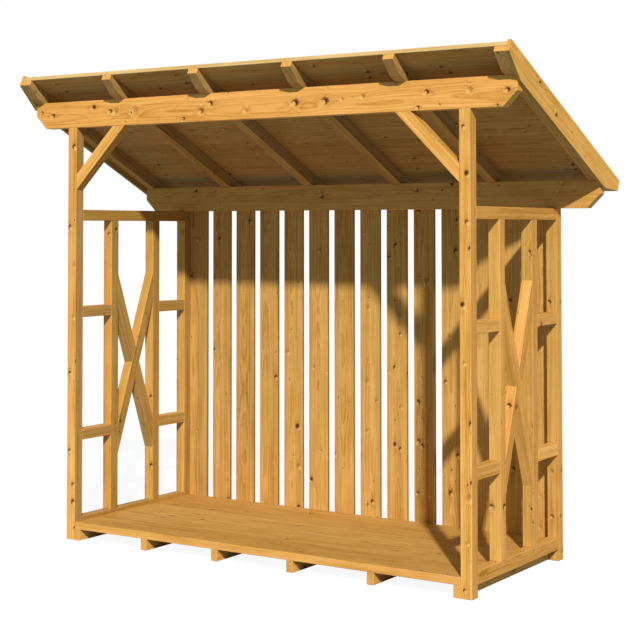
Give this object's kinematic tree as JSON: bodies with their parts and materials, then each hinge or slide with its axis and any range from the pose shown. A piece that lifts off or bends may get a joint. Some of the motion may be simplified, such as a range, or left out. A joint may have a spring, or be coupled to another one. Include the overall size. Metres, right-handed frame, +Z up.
{
  "type": "log store",
  "caption": "Open timber log store: corner posts under a single-pitch boarded roof, side walls with crossed braces, a slatted back wall and a raised floor",
  "frame": {"origin": "on the ground under the middle of the whole thing, roof included", "axes": "+X to the right along the open front, +Y from the front to the back, +Z up"},
  "size_m": [2.896, 1.2834, 2.4748],
  "materials": {
    "timber": "planed spruce with a honey stain",
    "roof_boards": "planed spruce boards with a honey stain",
    "floor_boards": "planed spruce boards with a honey stain",
    "back_boards": "planed spruce boards with a honey stain",
    "barge_boards": "planed spruce boards with a honey stain"
  },
  "bodies": {
    "root": {"back_boards": "back_boards", "barge_board_left": "barge_boards", "barge_board_right": "barge_boards", "bottom_rail_left": "timber", "bottom_rail_right": "timber", "cross_brace_falling_left": "timber", "cross_brace_falling_right": "timber", "cross_brace_rising_left": "timber", "cross_brace_rising_right": "timber", "floor_boards": "floor_boards", "joist_1": "timber", "joist_2": "timber", "joist_3": "timber", "joist_4": "timber", "joist_5": "timber", "joist_6": "timber", "knee_brace_left": "timber", "knee_brace_right": "timber", "nogging_front_high_left": "timber", "nogging_front_high_right": "timber", "nogging_front_low_left": "timber", "nogging_front_low_right": "timber", "nogging_rear_high_left": "timber", "nogging_rear_high_right": "timber", "nogging_rear_low_left": "timber", "nogging_rear_low_right": "timber", "post_front_left": "timber", "post_front_right": "timber", "post_rear_left": "timber", "post_rear_right": "timber", "purlin_front": "timber", "purlin_rear": "timber", "rafter_1": "timber", "rafter_2": "timber", "rafter_3": "timber", "rafter_4": "timber", "rafter_5": "timber", "rafter_6": "timber", "roof_boards": "roof_boards", "stud_front_left": "timber", "stud_front_right": "timber", "stud_rear_left": "timber", "stud_rear_right": "timber", "top_rail_left": "timber", "top_rail_right": "timber"}
  },
  "joints": []
}
